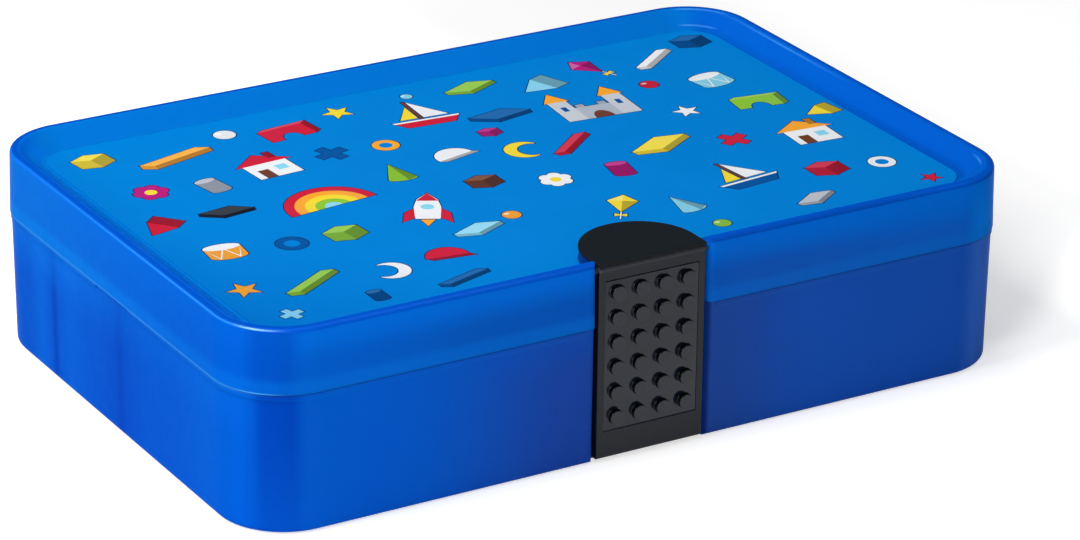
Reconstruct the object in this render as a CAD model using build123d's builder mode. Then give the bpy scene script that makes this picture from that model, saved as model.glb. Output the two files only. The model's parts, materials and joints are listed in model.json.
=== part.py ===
"""Building block storage box: a drafted tray, a hinged lid with a sunken panel, and a studded latch.

Millimetres. X runs along the length, the latch is in front at -Y, and +Z is up.
The origin is at the middle of the box's footprint, on the surface that it stands on.
"""
from math import atan2, cos, radians, sin, sqrt, tan
import os

from build123d import *

# Whole box
box_length = 266.0
box_depth = 179.5
box_height = 64.1
corner_radius = 22.5
seam_height = 43.8
seam_gap = 0.2

# Tray
tray_step = 0.5
tray_draft_degrees = 0.57
tray_wall = 2.6
floor_thickness = 2.2
bottom_rounding = 2.0
floor_rounding = 1.6
ledge_height = 1.6
ledge_reach = 0.3
finger_gap = 22.0
lip_height = 4.2
lip_gap = 0.35

# Dividers and their guide ribs
divider_thickness = 1.6
divider_top = 45.6
divider_slide = 0.2
rib_depth = 2.2
rib_thickness = 1.2
rear_divider_place = 47.5
front_divider_place = 4.0
cross_divider_place = 43.0

# Lid
lid_wall = 1.8
lid_draft_degrees = 1.4
lid_rounding = 1.3
rim_width = 2.8
rim_rounding = 1.1
dish_run = 7.6
dish_drop = 5.3
dish_rounding = 2.0
panel_thickness = 1.7
groove_width = 0.6
sheet_thickness = 0.3
sheet_gap = 0.3

# Latch plate, its recess and its snap bead
latch_width = 36.8
latch_side_gap = 0.8
latch_set_back = 0.75
latch_thickness = 3.2
latch_lift = 1.0
latch_drop = 0.4
latch_back_gap = 0.5
latch_rounding = 0.6
recess_wall = 2.0
recess_rounding = 2.2
flare_reach = 3.0
bead_radius = 0.9
bead_width = 28.0
bead_height = 5.6
bead_play = 0.4
bead_free_rise = 2.6

# Latch tab and the boss that it sits on
tab_thickness = 1.0
tab_centre_place = 8.0
tab_rounding = 0.4
tab_gap = 0.15
tab_overhang = 0.3
boss_wall = 2.2
boss_roof = 1.6
peg_radius = 2.0
peg_place = 9.0
peg_row_place = 6.0
peg_reach = 1.2
peg_gap = 0.05

# Fold of the latch
latch_pin_radius = 0.8
latch_ear_width = 4.0
latch_ear_depth = 3.3
latch_pin_end_gap = 0.4
fold_gap = 0.25

# Building studs on the latch
stud_pitch = 8.0
stud_radius = 2.4
stud_height = 1.7
stud_rounding = 0.2
stud_columns = 4
stud_top_margin = 3.1
stud_least_bottom_margin = 4.0
stud_panel_thickness = 1.35
stud_panel_drop = 0.25
stud_panel_gap = 0.2
stud_panel_rounding = 0.6

# Rear hinges
hinge_place = 70.0
hinge_radius = 2.4
hinge_clearance = 0.2
hinge_drop = 1.2
hinge_pin_radius = 1.2
hinge_root = 1.0
knuckle_width = 14.0
knuckle_rise = 8.0
knuckle_foot = 0.4
lug_width = 5.0
lug_gusset = 5.6
side_play = 0.3
running_gap = 0.08

# How far cutting shapes run past what they cut
overrun = 5.0

# Places that follow from the sizes above
front_face = -box_depth / 2
rear_face = box_depth / 2
lid_bottom = seam_height + seam_gap
lip_inset = lid_wall + lip_gap
lid_lean = (box_height - lid_bottom) * tan(radians(lid_draft_degrees))
rim_inset = lid_lean + rim_width
panel_height = box_height - dish_drop
panel_inset = rim_inset + dish_run
latch_face = front_face + latch_set_back
latch_back = latch_face + latch_thickness
recess_back = latch_back + latch_back_gap
recess_half_width = latch_width / 2 + latch_side_gap
fold_radius = latch_thickness / 2
fold_place = latch_face + fold_radius
tab_top = box_height - latch_drop
tab_floor = tab_top - tab_thickness
fold_height = tab_floor - fold_gap - fold_radius
stud_room = fold_height - latch_lift - stud_top_margin - stud_least_bottom_margin
stud_rows = int(stud_room / stud_pitch)
stud_panel_height = fold_height - stud_top_margin - stud_rows * stud_pitch / 2
tab_centre = front_face + tab_centre_place
tab_radius = latch_width / 2
boss_radius = tab_radius - tab_overhang
hinge_y = rear_face + hinge_radius + hinge_clearance
hinge_z = seam_height - hinge_drop
hinge_half_width = knuckle_width / 2 + side_play + lug_width
slot_half_width = divider_thickness / 2 + divider_slide
cross_places = (-cross_divider_place, cross_divider_place)


def draft_shift(height):
    """How far the tray's drafted wall stands inside its place at the seam."""
    return (seam_height - height) * tan(radians(tray_draft_degrees))


def plan_block(inset, low, high, draft_degrees):
    """A block that follows the box's plan at a distance inside it, drafted inwards going up."""
    with BuildPart() as block:
        with BuildSketch(Plane.XY.offset(low)):
            RectangleRounded(box_length - 2 * inset, box_depth - 2 * inset, corner_radius - inset)
        extrude(amount=high - low, taper=draft_degrees)
    return block.part


def tray_block(inset, low, high, rounding):
    """A block that follows the tray's drafted wall at a distance inside it, rounded at the bottom."""
    with BuildPart() as block:
        add(plan_block(tray_step + inset + draft_shift(low), low, high, -tray_draft_degrees))
        fillet(block.edges().group_by(Axis.Z)[0], radius=rounding)
    return block.part


def sloped_block(low, low_inset, high, high_inset):
    """A block whose walls slope from one inset at the bottom to another at the top."""
    with BuildPart() as block:
        for height, inset in ((low, low_inset), (high, high_inset)):
            with BuildSketch(Plane.XY.offset(height)):
                RectangleRounded(box_length - 2 * inset, box_depth - 2 * inset, corner_radius - inset)
        loft(ruled=True)
    return block.part


def span_block(x_span, y_span, z_span):
    """A plain block between two places along each axis."""
    spans = (x_span, y_span, z_span)
    with BuildPart() as block:
        with Locations(tuple((start + end) / 2 for start, end in spans)):
            Box(*(end - start for start, end in spans))
    return block.part


def tab_block(radius, front, low, high):
    """A block in the plan of the latch tab: straight sides from the front, then a half circle."""
    tip = tab_centre + radius
    with BuildPart() as block:
        with BuildSketch(Plane.XY.offset(low)):
            with Locations((0, tab_centre)):
                Circle(radius)
            with Locations((0, tab_centre - radius / 2)):
                Rectangle(2 * radius, radius)
            with Locations((0, (front + tip) / 2)):
                Rectangle(2 * radius, tip - front, mode=Mode.INTERSECT)
        extrude(amount=high - low)
    return block.part


def recess_flare(wall_face, low, high, lean):
    """Rounds the two upright corners where the latch recess breaks through a front wall."""
    with BuildPart() as block:
        with BuildSketch(Plane.XY.offset(low)) as outline:
            with Locations((0, wall_face)):
                Rectangle(2 * recess_half_width, 2 * flare_reach)
            with Locations((0, wall_face - overrun / 2)):
                Rectangle(2 * (recess_half_width + flare_reach), overrun)
            inner_corners = outline.vertices().filter_by(
                lambda corner: abs(corner.Y - wall_face) < recess_rounding / 2
                and abs(corner.X) < recess_half_width + recess_rounding / 2)
            fillet(inner_corners, radius=recess_rounding)
        extrude(amount=(high - low) / cos(lean), dir=(0, -sin(lean), cos(lean)))
    return block.part


def rod(radius, centre, length):
    """A round rod along X about its middle point."""
    with BuildPart() as cylinder:
        with BuildSketch(Plane(origin=centre, x_dir=(0, 1, 0), z_dir=(1, 0, 0))):
            Circle(radius)
        extrude(amount=length / 2, both=True)
    return cylinder.part


def side_profile_block(points, radius, middle, width):
    """A block across X whose side view is a polygon joined to a circle about the hinge axis."""
    with BuildPart() as block:
        with BuildSketch(Plane.YZ.offset(middle)):
            with BuildLine():
                Polyline(*points, close=True)
            make_face()
            with Locations((hinge_y, hinge_z)):
                Circle(radius)
        extrude(amount=width / 2, both=True)
    return block.part


def rib_places(place):
    """The middles of the two ribs on either side of a divider's slot."""
    step = slot_half_width + rib_thickness / 2
    return place - step, place + step


def make_tray():
    """The lower shell, with its lip, ledge, guide ribs, latch recess and hinge lugs."""
    wall_top_inset = tray_step + tray_wall
    lip_top = seam_height + lip_height
    hollow = tray_block(tray_wall, floor_thickness, lip_top + overrun, floor_rounding)
    recess_shell = span_block(
        (-recess_half_width - recess_wall, recess_half_width + recess_wall),
        (front_face - overrun, recess_back + recess_wall), (-overrun, seam_height))
    recess = span_block(
        (-recess_half_width, recess_half_width), (front_face - overrun, recess_back),
        (-overrun, lip_top + overrun))
    flare_lean = radians(tray_draft_degrees)
    flare_face = front_face + tray_step + draft_shift(-overrun)
    flare = recess_flare(flare_face, -overrun, seam_height + overrun, flare_lean)
    lip_break = recess_half_width + lid_wall + lip_gap
    lip_cut = span_block(
        (-lip_break, lip_break), (front_face - overrun, 0), (seam_height, lip_top + overrun))
    bead_groove = span_block(
        (-bead_width / 2 - bead_play, bead_width / 2 + bead_play),
        (recess_back - overrun, latch_back + bead_radius + bead_play),
        (bead_height - bead_radius - bead_play, bead_height + bead_radius + bead_free_rise))
    half_inside = box_length / 2 - wall_top_inset
    depth_inside = box_depth / 2 - wall_top_inset
    rib_start = half_inside - draft_shift(floor_thickness) - rib_depth
    rib_end = half_inside + tray_wall / 2
    rear_rib_start = depth_inside - draft_shift(floor_thickness) - rib_depth
    rear_rib_end = depth_inside + tray_wall / 2
    lug_start = rear_face - tray_step - hinge_root
    lug_outline = (
        (lug_start, hinge_z),
        (hinge_y, hinge_z),
        (hinge_y, hinge_z - hinge_radius),
        (lug_start, hinge_z - hinge_radius - lug_gusset))
    lug_step = (knuckle_width + lug_width) / 2 + side_play
    lugs = [
        side_profile_block(lug_outline, hinge_radius, side * hinge_place + step, lug_width)
        for side in (-1, 1) for step in (-lug_step, lug_step)]
    hinge_bore = rod(hinge_pin_radius, (0, hinge_y, hinge_z), box_length)

    with BuildPart() as tray_base:
        add(tray_block(0, 0, seam_height, bottom_rounding))
        add(hollow, mode=Mode.SUBTRACT)
        with BuildSketch(Plane.XY.offset(seam_height - ledge_height)):
            for inset, mode in ((tray_step - ledge_reach, Mode.ADD), (wall_top_inset, Mode.SUBTRACT)):
                RectangleRounded(
                    box_length - 2 * inset, box_depth - 2 * inset, corner_radius - inset, mode=mode)
            Rectangle(box_length, finger_gap, mode=Mode.SUBTRACT)
        extrude(amount=ledge_height)
        with BuildSketch(Plane.XY.offset(seam_height - ledge_height)):
            for inset, mode in ((lip_inset, Mode.ADD), (wall_top_inset, Mode.SUBTRACT)):
                RectangleRounded(
                    box_length - 2 * inset, box_depth - 2 * inset, corner_radius - inset, mode=mode)
        extrude(amount=ledge_height + lip_height)
        add(lip_cut, mode=Mode.SUBTRACT)
        add(recess_shell & tray_block(0, 0, seam_height, bottom_rounding))
        for place in (rear_divider_place, front_divider_place):
            for rib in rib_places(place):
                for side in (-1, 1):
                    with Locations((side * (rib_start + rib_end) / 2, rib,
                                    (floor_thickness + seam_height) / 2)):
                        Box(rib_end - rib_start, rib_thickness, seam_height - floor_thickness)
        for place in cross_places:
            for rib in rib_places(place):
                with Locations((rib, (rear_rib_start + rear_rib_end) / 2,
                                (floor_thickness + seam_height) / 2)):
                    Box(rib_thickness, rear_rib_end - rear_rib_start, seam_height - floor_thickness)
        add(recess, mode=Mode.SUBTRACT)
        add(flare, mode=Mode.SUBTRACT)
        add(bead_groove, mode=Mode.SUBTRACT)
        for lug in lugs:
            add(lug)
        add(hinge_bore, mode=Mode.SUBTRACT)
    return tray_base.part


def divider_envelope():
    """The space inside the tray that a divider may fill."""
    return tray_block(tray_wall + divider_slide, floor_thickness, divider_top, floor_rounding)


def make_long_divider(place, rib_sides):
    """A wall along the box, with ribs for the cross dividers on the sides that face a narrow row."""
    envelope = divider_envelope()
    with BuildPart() as long_divider:
        with Locations((0, place, (floor_thickness + divider_top) / 2)):
            Box(box_length, divider_thickness, divider_top - floor_thickness)
        for side in rib_sides:
            middle = place + side * (divider_thickness + rib_depth) / 2
            for cross_place in cross_places:
                for rib in rib_places(cross_place):
                    with Locations((rib, middle, (floor_thickness + divider_top) / 2)):
                        Box(rib_thickness, rib_depth, divider_top - floor_thickness)
        add(envelope, mode=Mode.INTERSECT)
    return long_divider.part


def make_cross_divider(cross_place, front, rear):
    """A short wall across one of the narrow rows."""
    envelope = divider_envelope()
    with BuildPart() as cross_divider:
        with Locations((cross_place, (front + rear) / 2, (floor_thickness + divider_top) / 2)):
            Box(divider_thickness, rear - front, divider_top - floor_thickness)
        add(envelope, mode=Mode.INTERSECT)
    return cross_divider.part


def make_lid_hollow():
    """The space inside the lid: under the panel, up into the rim and up into the boss."""
    slope = dish_run / dish_drop
    slope_shift = lid_wall * sqrt(1 + slope ** 2)
    underside = panel_height - panel_thickness
    underside_inset = rim_inset + (box_height - underside) * slope - slope_shift
    groove_top_inset = lid_wall + lid_lean + groove_width
    groove_top = box_height - (groove_top_inset + slope_shift - rim_inset) / slope
    below_dish = sloped_block(underside, underside_inset, groove_top, groove_top_inset)
    recess_shell = span_block(
        (-recess_half_width - lid_wall, recess_half_width + lid_wall),
        (front_face - overrun, recess_back + lid_wall), (0, box_height + overrun))
    boss_hollow = tab_block(
        boss_radius - boss_wall, recess_back + lid_wall, underside, tab_floor - boss_roof)
    with BuildPart() as hollow:
        add(plan_block(lid_wall, lid_bottom, groove_top, lid_draft_degrees))
        add(below_dish, mode=Mode.SUBTRACT)
        add(recess_shell, mode=Mode.SUBTRACT)
        for side in (-1, 1):
            with Locations((side * (recess_half_width + latch_ear_width / 2), fold_place, fold_height)):
                Box(latch_ear_width, 2 * latch_ear_depth, 2 * latch_ear_depth, mode=Mode.SUBTRACT)
        add(boss_hollow)
    return hollow.part


def make_lid():
    """The upper shell: skirt, rim, sunken panel, boss, latch recess and hinge knuckles."""
    dish = sloped_block(panel_height, panel_inset, box_height, rim_inset)
    boss = tab_block(boss_radius, recess_back, panel_height - panel_thickness, tab_floor)
    hollow = make_lid_hollow()
    pocket = tab_block(tab_radius + tab_gap, recess_back - overrun, tab_floor, box_height + overrun)
    recess = span_block(
        (-recess_half_width, recess_half_width), (front_face - overrun, recess_back),
        (0, box_height + overrun))
    flare_lean = radians(lid_draft_degrees)
    flare = recess_flare(
        front_face - overrun * tan(flare_lean), lid_bottom - overrun, box_height + overrun, -flare_lean)
    fold_bore = rod(
        latch_pin_radius, (0, fold_place, fold_height), 2 * (recess_half_width + latch_ear_width))
    knuckle_outline = (
        (rear_face - hinge_root, lid_bottom + knuckle_foot),
        (rear_face, lid_bottom + knuckle_foot),
        (hinge_y - hinge_radius, hinge_z),
        (hinge_y + hinge_radius, hinge_z),
        (rear_face - hinge_root, lid_bottom + knuckle_rise))
    knuckles = [
        side_profile_block(knuckle_outline, hinge_radius, side * hinge_place, knuckle_width)
        for side in (-1, 1)]
    hinge_bore = rod(hinge_pin_radius + running_gap, (0, hinge_y, hinge_z), box_length)

    with BuildPart() as lid_shell:
        add(plan_block(0, lid_bottom, box_height, lid_draft_degrees))
        fillet(lid_shell.edges().group_by(Axis.Z)[-1], radius=lid_rounding)
        add(dish, mode=Mode.SUBTRACT)
        top_face = lid_shell.faces().filter_by(Plane.XY).sort_by(Axis.Z)[-1]
        fillet(top_face.inner_wires()[0].edges(), radius=rim_rounding)
        panel_face = lid_shell.faces().filter_by(Plane.XY).sort_by(Axis.Z)[1]
        fillet(panel_face.outer_wire().edges(), radius=dish_rounding)
        add(boss)
        add(hollow, mode=Mode.SUBTRACT)
        add(pocket, mode=Mode.SUBTRACT)
        add(recess, mode=Mode.SUBTRACT)
        add(flare, mode=Mode.SUBTRACT)
        add(fold_bore, mode=Mode.SUBTRACT)
        with BuildSketch(Plane.XY.offset(tab_floor)):
            with Locations(*((side * peg_place, tab_centre + peg_row_place) for side in (-1, 1))):
                Circle(peg_radius + peg_gap)
        extrude(amount=-boss_roof - overrun, mode=Mode.SUBTRACT)
        for knuckle in knuckles:
            add(knuckle)
        add(hinge_bore, mode=Mode.SUBTRACT)
    return lid_shell.part


def make_printed_sheet():
    """The thin printed sheet on the lid's panel, cut away round the boss."""
    foot = dish_rounding * tan(atan2(dish_drop, dish_run) / 2)
    inset = panel_inset + foot + sheet_gap
    boss_clearance = tab_block(
        boss_radius + sheet_gap, recess_back, panel_height, panel_height + sheet_thickness)
    with BuildPart() as printed_sheet:
        add(plan_block(inset, panel_height, panel_height + sheet_thickness, 0))
        add(boss_clearance, mode=Mode.SUBTRACT)
    return printed_sheet.part


def make_latch_tab():
    """The D-shaped tab on the boss, which reaches forward over the barrel of the fold."""
    with BuildPart() as latch_tab:
        add(tab_block(tab_radius, latch_face, tab_floor, tab_top))
        fillet(latch_tab.edges().group_by(Axis.Z)[-1], radius=tab_rounding)
        with BuildSketch(Plane.XY.offset(tab_floor)):
            with Locations(*((side * peg_place, tab_centre + peg_row_place) for side in (-1, 1))):
                Circle(peg_radius)
        extrude(amount=-boss_roof - peg_reach)
    return latch_tab.part


def make_latch_plate():
    """The plate over the front: a barrel for the fold at the top, a pocket in front, a bead behind."""
    pocket_half_width = stud_columns * stud_pitch / 2 + stud_panel_gap
    pocket_half_height = stud_rows * stud_pitch / 2 + stud_panel_gap
    pocket = span_block(
        (-pocket_half_width, pocket_half_width),
        (latch_face - overrun, latch_face + stud_panel_drop + stud_panel_thickness),
        (stud_panel_height - pocket_half_height, stud_panel_height + pocket_half_height))
    with BuildPart() as latch_plate:
        with BuildSketch(Plane.YZ):
            with Locations((fold_place, (latch_lift + fold_height) / 2)):
                Rectangle(latch_thickness, fold_height - latch_lift)
            with Locations((fold_place, fold_height)):
                Circle(fold_radius)
        extrude(amount=latch_width / 2, both=True)
        front = latch_plate.faces().sort_by(Axis.Y)[0]
        fillet(front.edges().sort_by(Axis.Z)[:-1], radius=latch_rounding)
        add(pocket, mode=Mode.SUBTRACT)
        add(rod(bead_radius, (0, latch_back, bead_height), bead_width))
        add(rod(latch_pin_radius + running_gap, (0, fold_place, fold_height), latch_width + overrun),
            mode=Mode.SUBTRACT)
    return latch_plate.part


def make_stud_panel():
    """The plate of building studs that sits in the pocket of the latch."""
    face = Plane(
        origin=(0, latch_face + stud_panel_drop, stud_panel_height), x_dir=(1, 0, 0), z_dir=(0, -1, 0))
    with BuildPart() as stud_panel:
        with BuildSketch(face):
            RectangleRounded(stud_columns * stud_pitch, stud_rows * stud_pitch, stud_panel_rounding)
        extrude(amount=-stud_panel_thickness)
        with BuildSketch(face):
            with GridLocations(stud_pitch, stud_pitch, stud_columns, stud_rows):
                Circle(stud_radius)
        extrude(amount=stud_height)
        fillet(stud_panel.edges().group_by(Axis.Y)[0], radius=stud_rounding)
    return stud_panel.part


pieces = {
    "tray_base": make_tray(),
    "long_divider_rear": make_long_divider(rear_divider_place, (-1, 1)),
    "long_divider_front": make_long_divider(front_divider_place, (1,)),
    "lid_shell": make_lid(),
    "printed_sheet": make_printed_sheet(),
    "latch_tab": make_latch_tab(),
    "latch_plate": make_latch_plate(),
    "stud_panel": make_stud_panel(),
    "latch_pin": rod(
        latch_pin_radius, (0, fold_place, fold_height),
        2 * (recess_half_width + latch_ear_width - latch_pin_end_gap)),
}
for side, side_name in ((-1, "left"), (1, "right")):
    pieces[f"hinge_pin_{side_name}"] = rod(
        hinge_pin_radius, (side * hinge_place, hinge_y, hinge_z), 2 * hinge_half_width)
    pieces[f"cross_divider_rear_{side_name}"] = make_cross_divider(
        side * cross_divider_place, rear_divider_place + slot_half_width, rear_face)
    pieces[f"cross_divider_middle_{side_name}"] = make_cross_divider(
        side * cross_divider_place, front_divider_place + slot_half_width, rear_divider_place - slot_half_width)

os.makedirs("parts", exist_ok=True)
for name, piece in pieces.items():
    piece.label = name
    export_step(piece, f"parts/{name}.step")
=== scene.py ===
"""Visual model of a storage box for building blocks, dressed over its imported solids.

Metres. X runs along the box, the latch is in front at -Y, and +Z is up.
"""
import json
import math

import bmesh
import bpy
from mathutils import Matrix, Vector
from mathutils.geometry import delaunay_2d_cdt


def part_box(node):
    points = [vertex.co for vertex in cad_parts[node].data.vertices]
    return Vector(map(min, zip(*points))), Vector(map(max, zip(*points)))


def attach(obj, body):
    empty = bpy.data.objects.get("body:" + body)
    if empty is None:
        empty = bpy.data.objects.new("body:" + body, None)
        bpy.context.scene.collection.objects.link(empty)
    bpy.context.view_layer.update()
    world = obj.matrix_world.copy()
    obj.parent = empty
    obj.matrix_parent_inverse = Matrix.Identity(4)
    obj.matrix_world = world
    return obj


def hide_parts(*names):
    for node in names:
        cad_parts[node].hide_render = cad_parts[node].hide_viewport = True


MM = 0.001

# Camera, in millimetres, degrees and pixels of a frame 1080 wide
CAMERA_PLACE = (-654.49, -1128.98, 582.04)
CAMERA_AZIMUTH = 30.64
CAMERA_ELEVATION = 23.11
CAMERA_ROLL = 0.69
CAMERA_FOCUS = 4566.3
FRAME_WIDTH = 1080
SENSOR_WIDTH = 36.0

# Places on the box that the finishes follow, in millimetres
HALF_LONG = 133.0
HALF_DEEP = 89.75
CORNER = 22.5
SEAM = 44.0
LIP_TOP = 48.0
TOP = 64.1
RIM_WIDTH = 2.8
SLOPE_FOOT = 10.4
PANEL = 58.8
UNDERSIDE = 57.0
TAB_CENTRE = -81.75
TAB_UNDERSIDE = 62.7
BOSS_RADIUS = 18.1
RECESS_BACK = -85.0
RECESS_EDGE = 19.7
PLATE_TOP = 62.45
POCKET_SIDE = 16.2
POCKET_BOTTOM = 9.55
POCKET_TOP = 57.95
DIVIDERS = (42.3, -3.4)
DIVIDER_TOP = 45.6

# Sizes of the fine patterns in the finishes, in millimetres
CLOUD_SIZE = 64
HAZE_SIZE = 5
PATCH_SIZE = 16
FILM_GRAIN_SIZE = 0.7
GRAIN_SIZE = 0.45
SMUDGE_SIZE = 14

# Repeats in a metre along and across the wire
WIRE_SCALE = (40.0, 4000.0, 4000.0)

# Square millimetres that keep a division in a finish above zero
SMALL_AREA = 0.01

# Studs on the latch and the panel that they stand on, in millimetres
STUD_COLUMNS = 4
STUD_ROWS = 6
STUD_PITCH = 8.0
STUD_RADIUS = 2.4
STUD_HEIGHT = 1.7
STUD_ROUNDING = 0.22
STUD_SIDES = 36
PANEL_ROUNDING = 0.06
PANEL_FIT = 0.16
PANEL_FIT_ABOVE = -0.13
PANEL_FIT_BELOW = 0.19
PANEL_CORNER = 0.6

# Printing inks, as sRGB colours
INKS = {
    "ground": (0, 129, 214),
    "outline": (14, 40, 84),
    "yellow": (243, 218, 52),
    "red": (206, 32, 54),
    "lime": (140, 196, 58),
    "white": (238, 241, 244),
    "black": (30, 34, 40),
    "navy": (8, 84, 158),
    "orange": (248, 168, 50),
    "sky": (140, 214, 240),
    "magenta": (184, 30, 122),
    "brown": (112, 62, 36),
    "grey": (176, 184, 196),
}
OUTLINE_WIDTH = 0.35

# How the print is divided: only inside its loops, with corners this close in millimetres taken as one
INSIDE_LOOPS = 1
SAME_CORNER = 0.0001

# How close points of the CAD sheet count as one, and how close to its top they lie in it, in millimetres
SAME_POINT = 0.001
LEVEL = 0.01

# Lamps: name, place and aim in metres, size in metres, power in watts and spread in degrees
LAMPS = (
    ("Left lamp", (-0.85, 0.1, 1.2), (0, 0, 0.03), 0.7, 19, 180),
    ("Front lamp", (-0.3, -0.7, 0.15), (-0.14, -0.09, 0.03), 0.3, 0.34, 70),
    ("Top lamp", (0.1, 0.0, 1.6), (0, 0, 0.03), 1.4, 5, 180),
)

# Half the floor's side in metres, and the strength of the light all round
FLOOR_REACH = 12
WORLD_STRENGTH = 0.1

# Grey levels of the floor, and of its own light at both ends of the open floor and of the painted shadow
# beside the box
FLOOR_GREY = 0.76
FLOOR_LIGHT = (0.62, 0.7)
SHADOW_LIGHT = (0.45, 0.35)

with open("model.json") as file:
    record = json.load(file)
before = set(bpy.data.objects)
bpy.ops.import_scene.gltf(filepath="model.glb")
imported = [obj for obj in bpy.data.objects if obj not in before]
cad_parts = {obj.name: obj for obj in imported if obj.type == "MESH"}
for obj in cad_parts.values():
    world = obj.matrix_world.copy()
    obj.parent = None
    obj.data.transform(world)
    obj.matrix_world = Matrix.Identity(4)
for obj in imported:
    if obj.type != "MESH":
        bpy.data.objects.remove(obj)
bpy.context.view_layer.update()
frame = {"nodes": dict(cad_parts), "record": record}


def linear(colour):
    """An sRGB colour of 0 to 255 as a linear colour with alpha."""
    def channel(value):
        share = value / 255
        return share / 12.92 if share <= 0.04045 else ((share + 0.055) / 1.055) ** 2.4
    return tuple(channel(value) for value in colour) + (1.0,)


class Sock:
    """A value in a tree of nodes. Arithmetic on it adds Math nodes."""

    def __init__(self, nodes, socket):
        self.nodes = nodes
        self.socket = socket

    def math(self, operation, *values):
        return self.nodes.node("ShaderNodeMath", {"operation": operation}, dict(enumerate(values)))

    def __add__(self, other):
        return self.math("ADD", self, other)

    def __sub__(self, other):
        return self.math("SUBTRACT", self, other)

    def __mul__(self, other):
        return self.math("MULTIPLY", self, other)

    def __truediv__(self, other):
        return self.math("DIVIDE", self, other)

    def __radd__(self, other):
        return self.math("ADD", other, self)

    def __rsub__(self, other):
        return self.math("SUBTRACT", other, self)

    def __rmul__(self, other):
        return self.math("MULTIPLY", other, self)

    def __neg__(self):
        return 0 - self

    def __abs__(self):
        return self.math("ABSOLUTE", self)

    def sign(self):
        return self.math("SIGN", self)

    def root(self):
        return self.math("SQRT", self)

    def at_least(self, other):
        return self.math("MAXIMUM", self, other)

    def rise(self, low, high):
        """0 below low, 1 above high, and a soft step between."""
        values = {"Value": self, "From Min": low, "From Max": high}
        return self.nodes.node("ShaderNodeMapRange", {"interpolation_type": "SMOOTHSTEP"}, values)

    def fall(self, low, high):
        """1 below low, 0 above high, and a soft step between."""
        return 1 - self.rise(low, high)

    def near(self, place, width):
        """1 at a place, falling softly to 0 at a width from it."""
        return 1 - abs(self - place).rise(0, width)


class Nodes:
    """A tree of nodes, and the one way in which they are added to it."""

    def __init__(self, tree):
        self.tree = tree

    def node(self, kind, settings, values, output=0):
        """Adds a node and gives one of its outputs. A list links several values to one socket."""
        node = self.tree.nodes.new(kind)
        for label, value in settings.items():
            setattr(node, label, value)
        for label, value in values.items():
            for given in value if isinstance(value, list) else [value]:
                if isinstance(given, Sock):
                    self.tree.links.new(given.socket, node.inputs[label])
                else:
                    node.inputs[label].default_value = given
        return Sock(self, node.outputs[output])


class Finish(Nodes):
    """A material, the nodes that make its surface, and the colour painted on it so far."""

    def __init__(self, name, **constants):
        self.material = bpy.data.materials.new(name)
        self.material.use_nodes = True
        super().__init__(self.material.node_tree)
        self.shader = self.tree.nodes["Principled BSDF"]
        for label, value in constants.items():
            self.shader.inputs[label.replace("_", " ")].default_value = value
        self.place = self.node("ShaderNodeTexCoord", {}, {}, "Object")
        self.colour = None

    def axes(self):
        """The place on the piece along X, Y and Z, in millimetres."""
        apart = self.node("ShaderNodeSeparateXYZ", {}, {0: self.place})
        outputs = apart.socket.node.outputs
        return [Sock(self, output) * (1 / MM) for output in outputs]

    def facing(self, axis):
        """How far the surface faces along an axis of its piece, from -1 to 1."""
        normal = self.node("ShaderNodeTexCoord", {}, {}, "Normal")
        return self.node("ShaderNodeSeparateXYZ", {}, {0: normal}, axis)

    def noise(self, size, detail=2.0, roughness=0.5):
        """Soft noise from 0 to 1, with features of a size in millimetres."""
        values = {"Vector": self.place, "Scale": 1 / (size * MM), "Detail": detail, "Roughness": roughness}
        return self.node("ShaderNodeTexNoise", {}, values)

    def mix(self, share, first, second, blend="MIX"):
        """Two linear colours mixed by a share."""
        settings = {"data_type": "RGBA", "blend_type": blend}
        return self.node("ShaderNodeMix", settings, {0: share, 6: first, 7: second}, 2)

    def fade(self, share, first, second):
        """Two sRGB colours mixed by a share."""
        return self.mix(share, linear(first), linear(second))

    def paint(self, share, ink, blend="MIX"):
        """Lays an sRGB colour, or a colour from nodes, over the colour so far by a share."""
        over = ink if isinstance(ink, Sock) else linear(ink)
        self.colour = self.mix(share, self.colour, over, blend)

    def bump(self, height, distance, strength, normal=None):
        """A normal with the fine relief of a height, over a distance in millimetres."""
        values = {"Height": height, "Distance": distance * MM, "Strength": strength}
        if normal is not None:
            values["Normal"] = normal
        return self.node("ShaderNodeBump", {}, values)

    def soft_edges(self, radius):
        """The normal of the surface with its sharp edges eased, by a radius in millimetres."""
        return self.node("ShaderNodeBevel", {"samples": 6}, {"Radius": radius * MM})

    def feed(self, **values):
        for label, value in values.items():
            self.tree.links.new(value.socket, self.shader.inputs[label.replace("_", " ")])


class Spot:
    """Where on the box a point of a finish is, and which way out of the box it lies."""

    def __init__(self, finish):
        self.x, self.y, self.z = finish.axes()
        over_x = (abs(self.x) - (HALF_LONG - CORNER)).at_least(0)
        over_y = (abs(self.y) - (HALF_DEEP - CORNER)).at_least(0)
        reach = (over_x * over_x + over_y * over_y + SMALL_AREA).root()
        self.inset = CORNER - reach
        self.out_right = over_x / reach * self.x.sign()
        self.out_rear = over_y / reach * self.y.sign()
        self.out_left = -self.out_right
        self.out_front = -self.out_rear
        self.left, self.right, self.front, self.rear = (
            outward.rise(0.3, 0.9)
            for outward in (self.out_left, self.out_right, self.out_front, self.out_rear))


def shell_blue(name, lit, deep):
    """Blue see-through plastic: a faint cloudy depth under a thin polish."""
    finish = Finish(
        name, Subsurface_Weight=0.2, Subsurface_Radius=(0.2, 0.6, 1.0), Subsurface_Scale=0.004, IOR=1.02,
        Coat_Roughness=0.12)
    cloud = finish.noise(CLOUD_SIZE, 1.0)
    finish.colour = finish.fade(cloud.rise(0.3, 0.7), deep, lit)
    return finish


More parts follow.
